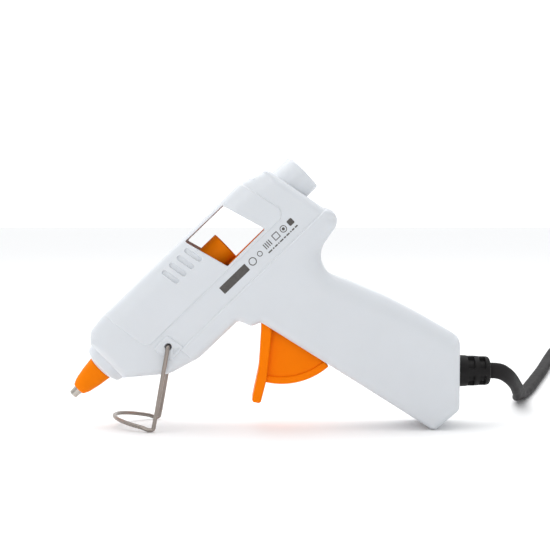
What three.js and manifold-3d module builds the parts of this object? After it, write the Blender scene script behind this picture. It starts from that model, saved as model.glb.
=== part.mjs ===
// A mini hot-melt glue gun for 7 mm sticks, standing on its bent-wire stand. Millimetres, +Z up.
// X runs from the nozzle (-X) to the end of the handle (+X), and the two housing halves meet at y = 0.
// The origin is under the middle of the gun, on the surface that it stands on.
import * as THREE from 'three';
import { mergeVertices } from 'three/addons/utils/BufferGeometryUtils.js';
import Module from 'manifold-3d';

const wasm = await Module();
wasm.setup();

// ---------- driving dimensions ----------
const GAP = 0.3; // between pieces that touch
const TILT = THREE.MathUtils.degToRad(44); // of the barrel, nose down
const NOZZLE_TIP = { x: -74.72, z: 12.43 }; // end of the barrel's axis
const STICK_BORE_R = 3.9; // for a 7 mm stick

const BAND_HALF_WIDTH = 13.0; // the housing's lower level
const PROUD = 0.5; // of the side panel and the handle over the band
const EDGE_R = 3.0;
const WALL = 1.8;
const SEAM = GAP / 2; // each half stops this far from y = 0

const BARREL_TOP = -13.7; // in v, from the barrel's axis
const BARREL_UNDERSIDE = 23.6;
const BELT_LINE = 16.1;

const PIVOT = { x: 7.4, z: 44.7 }; // trigger
const PIN_R = 1.5;
const SECTOR_R = 27.8;
const DRIVE = { u: 87.08, v: 11.57, r: 1.5 }; // the pin on the trigger's upper arm

const STAND_PIVOT = { x: -36.3, z: 32.7 };
const WIRE_R = 0.8;
const LEG_Y = 14.6;

const CORD_Z = 21.45;
const CORD = { width: 6.3, thickness: 3.8, tubeR: 2.4 };
const COIL = { x: 224, y: 237, r: 37.5, width: 13.4, z0: 1.2, z1: 9.4 };

const ARC_STEP = THREE.MathUtils.degToRad(30); // of rounded corners
const ROUND_SIDES = 14; // of pins, bosses and holes

const SCREW = { shankR: 1.1, headR: 2.3, thinBossR: 2.6, thickBossR: 3.6, seatY: 8.0 };

// ---------- materials ----------
const material = (color, roughness, metalness = 0) =>
  new THREE.MeshStandardMaterial({ color, roughness, metalness });
const WHITE_ABS = material('#dfe3e7', 0.42);
const ORANGE_SILICONE = material('#f08000', 0.6);
const ORANGE_ABS = material('#ff7a00', 0.4);
const STEEL = material('#9b938c', 0.35, 1);
const NOZZLE_METAL = material('#b9b5ae', 0.35, 1);
const ALUMINIUM = material('#c4c6c8', 0.45, 1);
const BRASS = material('#c8a454', 0.4, 1);
const CERAMIC = material('#e8e2d4', 0.7);
const FILM = material('#b8761f', 0.4);
const BLACK_PVC = material('#3c3838', 0.6);
const LEAD_BLUE = material('#2c5fb0', 0.6);
const LEAD_BROWN = material('#6b4226', 0.6);
const FIBREGLASS = material('#ece8dc', 0.8);

// ---------- places ----------
// The barrel's own frame: u along its axis from the nozzle's tip, v square to it and downwards.
const barrelPoint = (u, v) => [
  NOZZLE_TIP.x + u * Math.cos(TILT) + v * Math.sin(TILT),
  NOZZLE_TIP.z + u * Math.sin(TILT) - v * Math.cos(TILT),
];
const barrel = new THREE.Group();
barrel.position.set(NOZZLE_TIP.x, 0, NOZZLE_TIP.z);
barrel.rotation.y = -TILT;
barrel.updateMatrix();

// ---------- solids ----------
function solid(geometry) {
  const bare = new THREE.BufferGeometry();
  bare.setAttribute('position', geometry.getAttribute('position'));
  bare.setIndex(geometry.index);
  const merged = mergeVertices(bare, 1e-4);
  return new wasm.Manifold(new wasm.Mesh({
    numProp: 3,
    vertProperties: new Float32Array(merged.getAttribute('position').array),
    triVerts: new Uint32Array(merged.index.array),
  }));
}

function geometryOf(body) {
  const mesh = body.getMesh();
  const geometry = new THREE.BufferGeometry();
  geometry.setAttribute('position', new THREE.BufferAttribute(mesh.vertProperties, 3));
  geometry.setIndex(new THREE.BufferAttribute(mesh.triVerts, 1));
  return geometry;
}

const joined = (bodies) => bodies.reduce((all, body) => all.add(body));
const cut = (body, tools) => tools.reduce((left, tool) => left.subtract(tool), body);

// Corners [a, b, radius], counter-clockwise, moved inwards by inset, with each rounded corner an arc.
function outline(corners, inset = 0) {
  const points = [];
  const count = corners.length;
  const vector = (i) => {
    const [a, b] = corners[(i + count) % count];
    return new THREE.Vector2(a, b);
  };
  for (let i = 0; i < count; i++) {
    const before = vector(i).sub(vector(i - 1)).normalize();
    const after = vector(i + 1).sub(vector(i)).normalize();
    const inBefore = new THREE.Vector2(-before.y, before.x);
    const inAfter = new THREE.Vector2(-after.y, after.x);
    const inward = inBefore.clone().add(inAfter).multiplyScalar(inset / (1 + inBefore.dot(inAfter)));
    const corner = vector(i).add(inward);
    const turn = Math.atan2(before.cross(after), before.dot(after));
    const given = corners[i][2] ?? 0;
    if (given === 0) {
      points.push(corner);
      continue;
    }
    const side = Math.sign(turn);
    const radius = Math.max(given - side * inset, 0.05);
    const start = corner.clone().addScaledVector(before, -radius * Math.tan(Math.abs(turn) / 2));
    const centre = start.clone().addScaledVector(inBefore, side * radius);
    const arcSteps = Math.max(2, Math.ceil(Math.abs(turn) / ARC_STEP));
    for (let k = 0; k <= arcSteps; k++) {
      points.push(start.clone().rotateAround(centre, (turn * k) / arcSteps));
    }
  }
  return points;
}

// A closed body through rings of points [x, z], all of one count, at rising y: [{ y, ring }, ...].
function loft(layers) {
  const count = layers[0].ring.length;
  const positions = layers.flatMap(({ y, ring }) => ring.flatMap((p) => [p.x, y, p.y]));
  const index = [];
  for (const [a, b, c] of THREE.ShapeUtils.triangulateShape(layers[0].ring, [])) index.push(a, b, c);
  const last = (layers.length - 1) * count;
  for (const [a, b, c] of THREE.ShapeUtils.triangulateShape(layers.at(-1).ring, [])) {
    index.push(last + a, last + c, last + b);
  }
  for (let k = 0; k + 1 < layers.length; k++) {
    for (let i = 0; i < count; i++) {
      const a = k * count + i;
      const b = k * count + ((i + 1) % count);
      index.push(a, a + count, b, b, a + count, b + count);
    }
  }
  const geometry = new THREE.BufferGeometry();
  geometry.setAttribute('position', new THREE.Float32BufferAttribute(positions, 3));
  geometry.setIndex(index);
  return geometry;
}

// A plate with straight edges between two faces square to Y, given in either order.
function plate(corners, faceA, faceB) {
  const faces = [Math.min(faceA, faceB), Math.max(faceA, faceB)];
  return solid(loft(faces.map((y) => ({ y, ring: outline(corners) }))));
}
const rectangle = (x0, z0, x1, z1) => [[x0, z0], [x1, z0], [x1, z1], [x0, z1]];

// A plate of half width w about y = 0 whose long edges are rounded to radius r.
function roundedPlate(corners, w, r, inset = 0, steps = 2) {
  const near = [];
  for (let k = 0; k <= steps; k++) {
    const angle = (k / steps) * (Math.PI / 2);
    const ring = outline(corners, inset + r * (1 - Math.sin(angle)));
    near.push({ y: r * (1 - Math.cos(angle)) - w, ring });
  }
  const far = near.map(({ y, ring }) => ({ y: -y, ring })).reverse();
  return solid(loft([...near, ...far]));
}

const inBarrel = (corners) => corners.map(([u, v, r]) => [...barrelPoint(u, v), r]);
const circleCorners = (x, z, r, sides = ROUND_SIDES) => Array.from({ length: sides }, (_, i) => {
  const angle = (2 * Math.PI * i) / sides;
  return [x + r * Math.cos(angle), z + r * Math.sin(angle)];
});
function cylinderY(x, z, r, faceA, faceB, sides = ROUND_SIDES) {
  return plate(circleCorners(x, z, r, sides), faceA, faceB);
}

// A lathe about local X: profile points [x, r], closed on itself or ending on the axis.
function latheX(profile, segments = 18) {
  const points = profile.map(([x, r]) => new THREE.Vector2(r, x));
  const geometry = new THREE.LatheGeometry(points, segments);
  return geometry.rotateZ(-Math.PI / 2);
}
const closed = (profile) => [...profile, profile[0]];
function boxBetween(low, high) {
  const size = high.map((value, i) => value - low[i]);
  const geometry = new THREE.BoxGeometry(...size);
  return geometry.translate(...low.map((value, i) => value + size[i] / 2));
}
// A box in the barrel's frame, with v downwards, still in that frame's own coordinates (local z = -v).
const barrelBox = (u0, u1, v0, v1, y0, y1) => boxBetween([u0, y0, -v1], [u1, y1, -v0]);

function polygonShape(points) {
  return new THREE.Shape(points.map(([x, y]) => new THREE.Vector2(x, y)));
}
function tubeAlong(points, radius, { sides = 8, steps }) {
  const section = polygonShape(circleCorners(0, 0, radius, sides));
  const extrudePath = new THREE.CatmullRomCurve3(points.map((p) => new THREE.Vector3(...p)));
  extrudePath.curveType = 'centripetal';
  return new THREE.ExtrudeGeometry(section, { steps, extrudePath, bevelEnabled: false });
}
const mirroredY = (points) => points.map(([x, y, z]) => [x, -y, z]);

// ---------- scene graph ----------
const gun = new THREE.Group();
gun.add(barrel);
function piece(name, geometry, look, parent = gun) {
  const mesh = new THREE.Mesh(geometry, look);
  mesh.name = name;
  parent.add(mesh);
  return mesh;
}

// ---------- housing ----------
const BODY = [
  ...inBarrel([[20.6, 8.9], [34.5, 20.1, 6], [47.0, BARREL_UNDERSIDE, 14]]),
  [-9.6, 42.4, 2],
  [-4.5, 40.2, 1.9],
  [-0.8, 41.7, 1],
  [66.1, -0.5],
  [76.0, 7.6, 3.4],
  [76.0, 36.0, 5.7],
  [48.0, 52.2, 160],
  [16.9, 63.1, 9],
  [31.9, 83.8, 5.1],
  [22.6, 86.0],
  ...inBarrel([[115.9, -10.2, 3.2], [104.6, BARREL_TOP, 9], [30.5, BARREL_TOP, 8]]),
  ...inBarrel([[24.0, -12.9, 4], [20.6, -9.3]]),
];
const PANEL = inBarrel([[31.8, -16], [35.6, 7.0, 3.5], [109.9, 7.0, 3.5], [104.4, -16]]);
const HANDLE_FACE = [
  ...inBarrel([[44.0, BELT_LINE], [46.5, 40]]),
  [0, -10],
  [90, -10],
  [90, 60],
  [40, 96],
  ...inBarrel([[121.5, BELT_LINE]]),
];
const WINDOW = inBarrel([[73.9, -12.9, 0.5], [79.4, 5.8, 0.6], [99.6, 5.5, 0.6], [94.1, -12.5, 0.5]]);
const SLOT_CENTRES = [73.0, 69.0, 65.0, 61.0];
const SLOT = { v: -6.5, length: 7.3, width: 1.9, lean: 0.206, depth: 1.0 };
const SCREWS = [
  barrelPoint(53.5, 17.2),
  barrelPoint(46.0, -8.7),
  barrelPoint(113.5, 12.6),
  [40.0, 41.0],
  [69.0, 11.0],
];
const CLAMP_SCREWS = [[62.0, CORD_Z - 6.4], [62.0, CORD_Z + 6.4]];
const STAND_PAD = inBarrel([[35.9, 6.2, 2], [35.9, 18.0, 2], [47.6, 18.0, 2], [47.6, 6.2, 2]]);

function slotCorners(u) {
  const [half, end, lean] = [SLOT.width / 2, SLOT.length / 2, SLOT.lean];
  const corner = (du, dv) => [u + du + lean * dv, SLOT.v + dv, 0.9];
  return inBarrel([corner(-half, -end), corner(-half, end), corner(half, end), corner(half, -end)]);
}

// Walls, hollow and openings common to both halves.
function housingShell() {
  const proudBody = roundedPlate(BODY, BAND_HALF_WIDTH + PROUD, EDGE_R);
  const reach = BAND_HALF_WIDTH + 5;
  const proudAreas = plate(PANEL, -reach, reach).add(plate(HANDLE_FACE, -reach, reach));
  const collarProfile = closed([
    [15.5, 5.0], [15.5, 5.8], [16.8, 8.4], [20.2, 9.2], [22.4, 9.2], [22.4, 5.0],
  ]);
  const collar = solid(latheX(collarProfile).applyMatrix4(barrel.matrix));
  const bandBody = roundedPlate(BODY, BAND_HALF_WIDTH, EDGE_R);
  const outer = joined([bandBody, proudBody.intersect(proudAreas), collar]);
  const hollow = roundedPlate(BODY, BAND_HALF_WIDTH - WALL, EDGE_R - 1, WALL, 1);
  const below = plate(rectangle(-200, -50, 200, 0), -reach, reach);
  const slots = SLOT_CENTRES.flatMap((u) => [-1, 1].map((side) => {
    const floor = side * (BAND_HALF_WIDTH + PROUD - SLOT.depth);
    return plate(slotCorners(u), floor, side * reach);
  }));
  const noseBore = solid(latheX([[14, 0], [14, 5.5], [26, 5.5], [26, 0]]).applyMatrix4(barrel.matrix));
  const tailBore = solid(latheX([[112, 0], [112, 8.4], [124, 8.4], [124, 0]]).applyMatrix4(barrel.matrix));
  const reliefBore = solid(latheX([[72, 0], [72, 5.3], [80, 5.3], [80, 0]]).translate(0, 0, CORD_Z));
  const leverWay = plate([[-2.2, 30], [9, 30], [9, 44], [-2.2, 44]], -7.6, 7.6);
  const sectorWay = plate([[8.9, 20], [28.6, 20], [28.6, 29], [8.9, 41]], -5.9, 5.9);
  const window = plate(WINDOW, -reach, reach);
  return cut(outer, [hollow, below, ...slots, window, noseBore, tailBore, reliefBore, leverWay, sectorWay]);
}

// Ribs and bosses of one half. side is -1 for the left half (-Y) and 1 for the right half (+Y).
function housingInsides(side) {
  const intoWall = side * (BAND_HALF_WIDTH - 0.6);
  const seamFace = side * SEAM;
  const between = (a, b) => [Math.min(a, b), Math.max(a, b)];
  const rib = (u0, u1, v0, v1, holeR) => {
    const block = solid(barrelBox(u0, u1, v0, v1, ...between(seamFace, intoWall)));
    return block.subtract(solid(latheX([[u0 - 1, 0], [u0 - 1, holeR], [u1 + 1, holeR], [u1 + 1, 0]])));
  };
  const ribs = [
    rib(26.0, 27.6, BARREL_TOP + 1.2, 13.5, 5.8),
    rib(61.0, 62.6, BARREL_TOP + 1.2, 9.0, 5.8),
    rib(108.6, 110.0, BARREL_TOP + 1.2, 9.2, 4.4),
    solid(barrelBox(74.0, 108.0, 8.8, 10.2, ...between(side * 6.0, intoWall))),
  ].map((body) => solid(geometryOf(body).applyMatrix4(barrel.matrix)));
  const bosses = SCREWS.map(([x, z]) => cylinderY(x, z, SCREW.thinBossR, seamFace, intoWall));
  const standBoss = cylinderY(STAND_PIVOT.x, STAND_PIVOT.z, 2.9, side * 8.4, intoWall);
  const pinBoss = cylinderY(PIVOT.x, PIVOT.z, 3.2, side * 7.4, intoWall);
  const extras = side > 0
    ? SCREWS.map(([x, z]) => cylinderY(x, z, SCREW.thickBossR, side * 6.6, intoWall))
    : CLAMP_SCREWS.map(([x, z]) => cylinderY(x, z, 2.4, intoWall, 1.9));
  return joined([...ribs, ...bosses, standBoss, pinBoss, ...extras]);
}

function housingHalf(side, shell) {
  const far = side * 30;
  const keep = plate(rectangle(-200, -50, 200, 200), side * SEAM, far);
  const reaching = housingInsides(side);
  const envelope = roundedPlate(BODY, BAND_HALF_WIDTH - 0.5, EDGE_R - 0.5, 0.5, 1);
  const standPad = plate(STAND_PAD, side * (BAND_HALF_WIDTH - 1), side * (BAND_HALF_WIDTH + 0.6));
  const body = joined([shell.intersect(keep), reaching.intersect(envelope), standPad]);
  const holes = [
    cylinderY(STAND_PIVOT.x, STAND_PIVOT.z, 1.3, side * 7, far),
    cylinderY(PIVOT.x, PIVOT.z, PIN_R + 0.2, side * 5, side * 11.1),
  ];
  if (side > 0) {
    for (const [x, z] of SCREWS) {
      holes.push(cylinderY(x, z, SCREW.shankR + GAP, -1, far));
      holes.push(cylinderY(x, z, SCREW.headR + GAP, SCREW.seatY, far));
    }
  } else {
    for (const [x, z] of SCREWS) holes.push(cylinderY(x, z, SCREW.shankR + GAP, -9.5, 1));
    for (const [x, z] of CLAMP_SCREWS) holes.push(cylinderY(x, z, SCREW.shankR + GAP, -7, 3));
  }
  return geometryOf(cut(body, holes));
}

function makeHousing() {
  const shell = housingShell();
  piece('left_housing', housingHalf(-1, shell), WHITE_ABS);
  piece('right_housing', housingHalf(1, shell), WHITE_ABS);
  SCREWS.forEach(([x, z], i) => {
    piece(`housing_screw_${i + 1}`, screw(x, z, SCREW.seatY + GAP, -7.5), STEEL);
  });
}

// A pan-head screw along Y, its head above seat and its shank down to tip, with a cross recess.
function screw(x, z, seat, tip) {
  const headTop = seat + 1.8;
  const shank = cylinderY(x, z, SCREW.shankR, tip, seat, 8);
  const head = cylinderY(x, z, SCREW.headR, seat - 0.01, headTop, 12);
  const recess = [[1.4, 0.35], [0.35, 1.4]].map(([a, b]) =>
    plate(rectangle(x - a, z - b, x + a, z + b), headTop - 0.9, headTop + 1));
  return geometryOf(cut(shank.add(head), recess));
}

// ---------- hot end ----------
function makeHotEnd() {
  piece('nozzle', latheX(closed([
    [0, 0.9], [0, 1.7], [3.2, 1.95], [3.9, 2.4], [8.4, 2.4], [8.6, 2.9], [22, 2.9], [22, 0.9],
  ])), NOZZLE_METAL, barrel);
  piece('nozzle_cover', latheX(closed([
    [3.3, 2.3], [3.3, 2.65], [5.5, 3.7], [10, 4.63], [15.2, 5.3], [15.2, 5.15], [17.4, 5.15], [17.4, 3.3],
    [8.2, 3.3], [8.0, 2.75], [4.2, 2.75],
  ])), ORANGE_SILICONE, barrel);

  const meltWay = [[22.6, 0], [22.6, 1.2], [28, STICK_BORE_R], [71, STICK_BORE_R], [71, 0]];
  const tube = solid(latheX([[18.2, 0], [18.2, 5.5], [70, 5.5], [70, 0]]));
  const socket = solid(latheX([[17, 0], [17, 3.3], [22.7, 3.3], [22.7, 0]]));
  const heaterBlock = solid(barrelBox(32, 54.5, 3, 11.6, -6, 6));
  const heaterPocket = solid(barrelBox(31, 55.5, 5.9, 10.1, -4.6, 4.6));
  const chamber = cut(tube.add(heaterBlock), [solid(latheX(meltWay)), socket, heaterPocket]);
  piece('melt_chamber', geometryOf(chamber), ALUMINIUM, barrel);

  const film = solid(barrelBox(31.5, 55.5, 6.2, 9.8, -4.3, 4.3));
  const filmInside = solid(barrelBox(30, 57, 6.55, 9.45, -3.95, 3.95));
  piece('heater_insulation', geometryOf(film.subtract(filmInside)), FILM, barrel);
  piece('ptc_element', barrelBox(33, 53, 7.55, 8.45, -3.3, 3.3), CERAMIC, barrel);
  const electrode = (v0, v1, y0, y1) => {
    const leaf = solid(barrelBox(33, 54.6, v0, v1, -3.4, 3.4));
    const tab = solid(barrelBox(54.5, 58.8, v0, v1, y0, y1));
    return geometryOf(leaf.add(tab));
  };
  piece('electrode_upper', electrode(6.85, 7.25, 1.2, 3.4), BRASS, barrel);
  piece('electrode_lower', electrode(8.75, 9.15, -3.4, -1.2), BRASS, barrel);

  piece('inlet_sleeve', latheX(closed([
    [63.5, 5.8], [63.5, 6.3], [84, 6.3], [84, 5.6], [82, 4.3], [72, 4.1], [70.3, 4.1], [70.3, 5.8],
  ])), ORANGE_SILICONE, barrel);
  piece('sleeve_clamp', latheX(closed([[65, 6.6], [65, 7.3], [67.2, 7.3], [67.2, 6.6]])), STEEL, barrel);
}

// ---------- feed ----------
function makeFeed() {
  const channel = solid(barrelBox(80, 108, 5.4, 8.4, -6.4, 6.4))
    .subtract(solid(barrelBox(79, 109, 5.0, 6.8, -4.5, 4.5)));
  const cheeks = solid(barrelBox(83, 91.2, 8.3, 14.8, -5.7, 5.7))
    .subtract(solid(barrelBox(82, 90.2, 8.4, 16, -3.2, 3.2)));
  const forkSlot = solid(barrelBox(DRIVE.u - DRIVE.r - 0.35, DRIVE.u + DRIVE.r + 0.35, 9.2, 16, -7, 7));
  const lug = solid(barrelBox(91.1, 93.4, 11.6, 14.4, -1, 1));
  const ring = solid(latheX([[100.5, 0], [100.5, 7.1], [108, 7.1], [108, 0]]));
  const stickWay = solid(latheX([[99, 0], [99, 4.0], [109, 4.0], [109, 0]]));
  const body = cut(joined([channel, cheeks, lug, ring]), [forkSlot, stickWay]);
  piece('feed_carriage', geometryOf(body), ORANGE_ABS, barrel);

  const turns = 7;
  const stepsPerTurn = 6;
  const [start, end, v] = [93.4 + GAP, 113.5 - SCREW.thinBossR - GAP, 13.0];
  const coil = [[start, 0, -v], [start + 0.9, 0, -v]];
  for (let i = 0; i <= turns * stepsPerTurn; i++) {
    const angle = (2 * Math.PI * i) / stepsPerTurn;
    const along = start + 2 + ((end - start - 4) * i) / (turns * stepsPerTurn);
    coil.push([along, 1.6 * Math.sin(angle), -v + 1.6 * Math.cos(angle)]);
  }
  coil.push([end - 0.9, 0, -v], [end, 0, -v]);
  piece('return_spring', tubeAlong(coil, 0.3, { sides: 4, steps: 60 }), STEEL, barrel);

  piece('rear_guide_tube', latheX(closed([
    [110.4, STICK_BORE_R], [110.4, 9.0], [112.0, 9.0], [112.0, 8.25], [125.5, 8.0], [125.9, 7.6],
    [125.9, 5.5], [124.6, 4.6], [121, STICK_BORE_R],
  ]), 22), WHITE_ABS, barrel);
}

// ---------- trigger ----------
function arcPoints(centre, radius, fromDeg, toDeg, steps) {
  return Array.from({ length: steps + 1 }, (_, i) => {
    const angle = THREE.MathUtils.degToRad(fromDeg + ((toDeg - fromDeg) * i) / steps);
    return [centre.x + radius * Math.cos(angle), centre.z + radius * Math.sin(angle)];
  });
}

function makeTrigger() {
  const lever = plate([
    [8.5, 49.0, 3], [1.5, 46.5, 2], [-0.6, 40.0, 6], [-1.6, 24.0, 30], [-4.5, 10.3, 1], [-1.0, 9.6, 1],
    [1.3, 18.5, 20], [3.3, 33.5, 6], [4.5, 39.5, 2], [11.0, 41.0, 2],
  ], -7, 7);
  const [guardStart, guardEnd] = [-108, -48.9];
  const outerArc = arcPoints(PIVOT, SECTOR_R, guardStart, guardEnd, 8);
  const guard = plate([[PIVOT.x, PIVOT.z], [2.5, 41.0], ...outerArc], -4, 4);
  const rim = plate([...outerArc, ...arcPoints(PIVOT, SECTOR_R - 3, guardEnd, guardStart, 8)], -4.8, 4.8);
  const [driveX, driveZ] = barrelPoint(DRIVE.u, DRIVE.v);
  const armHalfWidth = 2.2;
  const along = new THREE.Vector2(driveX - PIVOT.x, driveZ - PIVOT.z).setLength(armHalfWidth);
  const arm = plate([
    [PIVOT.x + along.y, PIVOT.z - along.x], [driveX + along.y, driveZ - along.x],
    [driveX - along.y, driveZ + along.x], [PIVOT.x - along.y, PIVOT.z + along.x],
  ], -2.6, 2.6);
  const body = joined([
    lever, guard, rim, arm,
    cylinderY(PIVOT.x, PIVOT.z, 4.5, -7, 7),
    cylinderY(driveX, driveZ, armHalfWidth, -2.6, 2.6),
    cylinderY(driveX, driveZ, DRIVE.r, -5.3, 5.3, 16),
  ]);
  piece('trigger', geometryOf(body.subtract(cylinderY(PIVOT.x, PIVOT.z, PIN_R + 0.25, -9, 9))), ORANGE_ABS);
  piece('trigger_pin', geometryOf(cylinderY(PIVOT.x, PIVOT.z, PIN_R, -10.8, 10.8, 16)), STEEL);
}

// ---------- wire stand ----------
function makeStand() {
  const heel = { x: -42.1, z: WIRE_R };
  const tip = { x: -58.4, z: 4.3 };
  const reach = { x: tip.x - heel.x, z: tip.z - heel.z };
  const side = [
    [STAND_PIVOT.x, -8.6, STAND_PIVOT.z],
    [STAND_PIVOT.x, -13.4, STAND_PIVOT.z],
    [STAND_PIVOT.x - 0.1, -14.45, STAND_PIVOT.z - 0.4],
    [STAND_PIVOT.x - 0.35, -LEG_Y, STAND_PIVOT.z - 1.8],
    [(STAND_PIVOT.x + heel.x) / 2, -LEG_Y, (STAND_PIVOT.z + heel.z) / 2],
    [heel.x + 0.35, -LEG_Y, heel.z + 1.9],
    [heel.x - 0.1, -LEG_Y, heel.z + 0.35],
    [heel.x - 1.6, -LEG_Y, heel.z + 0.05],
  ];
  const loop = [15, 30, 45, 60, 75].map((degrees) => {
    const angle = THREE.MathUtils.degToRad(degrees);
    const along = Math.sin(angle);
    return [heel.x + reach.x * along, -LEG_Y * Math.cos(angle), heel.z + reach.z * along];
  });
  const half = [...side, ...loop];
  const path = [...half, [tip.x, 0, tip.z], ...mirroredY(half).reverse()];
  piece('wire_stand', tubeAlong(path, WIRE_R, { steps: 76 }), STEEL);
}

// ---------- wiring inside the handle ----------
function makeWiring() {
  piece('strain_relief', latheX([
    [67.4, 0], [67.4, 4.2], [71.6, 4.6], [71.6, 6.8], [73.8, 6.8], [73.8, 5.0], [76.3, 5.0], [76.3, 6.25],
    [87.9, 5.65], [89.0, 5.2], [89.4, 4.4], [89.4, 0],
  ]).translate(0, 0, CORD_Z), BLACK_PVC);

  const [halfY, halfZ] = [CORD.thickness / 2, CORD.width / 2];
  const sheath = solid(boxBetween([58, -halfY, CORD_Z - halfZ], [67.1, halfY, CORD_Z + halfZ]));
  piece('inner_cord_end', geometryOf(sheath), BLACK_PVC);

  const bar = solid(boxBetween([60, halfY + GAP, CORD_Z - 9], [64, halfY + GAP + 1.8, CORD_Z + 9]));
  const barHoles = CLAMP_SCREWS.map(([x, z]) => cylinderY(x, z, SCREW.shankR + GAP, 0, 8));
  piece('cord_clamp', geometryOf(cut(bar, barHoles)), WHITE_ABS);
  CLAMP_SCREWS.forEach(([x, z], i) => {
    piece(`clamp_screw_${i + 1}`, screw(x, z, halfY + 1.8 + 2 * GAP, -5.5), STEEL);
  });

  const [tabX, tabZ] = barrelPoint(60.2, 15.6);
  const [bendX, bendZ] = barrelPoint(66, 18.6);
  for (const [line, side, look] of [['live', -1, LEAD_BROWN], ['neutral', 1, LEAD_BLUE]]) {
    const points = [
      [57.2, side * 0.9, CORD_Z + side * 1.6],
      [55.4, side * 1.6, CORD_Z + 0.6 + side * 1.6],
      [53.5, side * 7.5, 29],
      [51.5, side * 8.6, 37],
      [46.0, side * 8.6, 46.5],
      [36.0, side * 8.6, 50.5],
      [22.0, side * 8.6, 54.5],
      [6.0, side * 8.6, 54.0],
      [-8.0, side * 8.6, 49.0],
      [bendX, side * 6.5, bendZ],
      [tabX + 1.4, side * 3.4, tabZ - 1.0],
      [tabX, side * 2.3, tabZ],
    ];
    piece(`${line}_lead`, tubeAlong(points, 0.85, { sides: 5, steps: 26 }), look);
    const sleeve = new THREE.CylinderGeometry(1.0, 1.0, 5.6, 10).rotateX(Math.PI / 2);
    piece(`${line}_sleeve`, sleeve, FIBREGLASS, barrel).position.set(60.2, side * 2.3, -12.3);
  }
}

// ---------- power cord ----------
// From the strain relief down to the surface and away from the nozzle's side view, then to the coil.
const CORD_ROUTE = [
  [90.0, 0, 21.45], [92.0, 0.1, 21.4], [94.5, 1.2, 20.8], [97.6, 4.3, 19.0],
  [101.7, 12.0, 15.6], [106.1, 24.0, 10.9], [110.0, 37.0, 6.6], [113.2, 50.0, 3.6],
  [117.8, 64.0, 2.5], [123.2, 78.0, 2.45], [130.0, 97.0, 2.45],
  [136.8, 116.5, 2.45], [143.3, 135.0, 2.45], [149.4, 153.0, 2.45], [155.0, 170.0, 2.45], [160.2, 186.0, 2.45],
  [166.2, 203.0, 2.9], [171.6, 218.0, 3.3], [176.0, 231.0, 3.3],
];
const TAIL_ROUTE = [
  [270.95, 236.0, 6.6], [272.4, 226.0, 5.2], [273.2, 214.0, 3.4], [273.4, 203.0, 2.6], [273.4, 192.0, 2.9],
  [273.4, 182.0, 5.0], [273.4, 173.0, 6.8], [273.4, 168.3, 6.9],
];
const PLUG = { x: 273.4, y: 168.0, z: 6.9, length: 35, width: 25, height: 13.6, relief: 17 };
const PLUG_PIN = { r: 2, length: 19, pitch: 19 };

function makeCord() {
  piece('power_cord', tubeAlong(CORD_ROUTE, CORD.tubeR, { steps: 34 }), BLACK_PVC);
  piece('cord_tail', tubeAlong(TAIL_ROUTE, CORD.tubeR, { steps: 12 }), BLACK_PVC);
  const [inner, outer] = [COIL.r - COIL.width / 2, COIL.r + COIL.width / 2];
  const section = closed(rectangle(inner, COIL.z0, outer, COIL.z1));
  const ring = new THREE.LatheGeometry(section.map(([r, z]) => new THREE.Vector2(r, z)), 40);
  piece('cord_coil', ring.rotateX(Math.PI / 2), BLACK_PVC).position.set(COIL.x, COIL.y, 0);

  const strap = 0.9;
  const [r0, r1] = [inner - GAP, outer + GAP];
  const [z0, z1] = [COIL.z0 - GAP, COIL.z1 + GAP];
  const band = solid(boxBetween([r0 - strap, -2.2, z0 - strap], [r1 + strap, 2.2, z1 + strap]));
  const bandInside = solid(boxBetween([r0, -3, z0], [r1, 3, z1]));
  const tie = piece('cord_tie', geometryOf(band.subtract(bandInside)), BLACK_PVC);
  tie.position.set(COIL.x, COIL.y, 0);
  tie.rotation.z = THREE.MathUtils.degToRad(60);

  const { length, width, height, relief } = PLUG;
  const layer = (y, w, h, r) => {
    const corners = rectangle(-w / 2, -h / 2, w / 2, h / 2).map((corner) => [...corner, r]);
    return { y, ring: outline(corners) };
  };
  const layers = [
    layer(-relief - length, width, height, 3),
    layer(-relief - 12, width, height, 3),
    layer(-relief, 15, 11.5, 2.6),
    layer(0, 8.4, 7.2, 2),
  ];
  piece('plug', loft(layers), BLACK_PVC).position.set(PLUG.x, PLUG.y, PLUG.z);
  const pinY = PLUG.y - relief - length - GAP - PLUG_PIN.length / 2;
  [-PLUG_PIN.pitch / 2, PLUG_PIN.pitch / 2].forEach((away, i) => {
    const pin = new THREE.CapsuleGeometry(PLUG_PIN.r, PLUG_PIN.length - 2 * PLUG_PIN.r, 3, 10);
    piece(`plug_pin_${i + 1}`, pin, BRASS).position.set(PLUG.x + away, pinY, PLUG.z);
  });
}

makeHousing();
makeHotEnd();
makeFeed();
makeTrigger();
makeStand();
makeWiring();
makeCord();

export default gun;
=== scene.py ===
"""A mini hot-melt glue gun on its wire stand, with its cord and plug.

Shapes are worked out in millimetres and become metres when a mesh is made. X runs from the nozzle (-X) to
the end of the handle (+X), Z is up, and the two housing halves meet at y = 0.
"""
import math

import bmesh
import bpy
import numpy as np
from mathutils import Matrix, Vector
from mathutils.geometry import delaunay_2d_cdt


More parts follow.
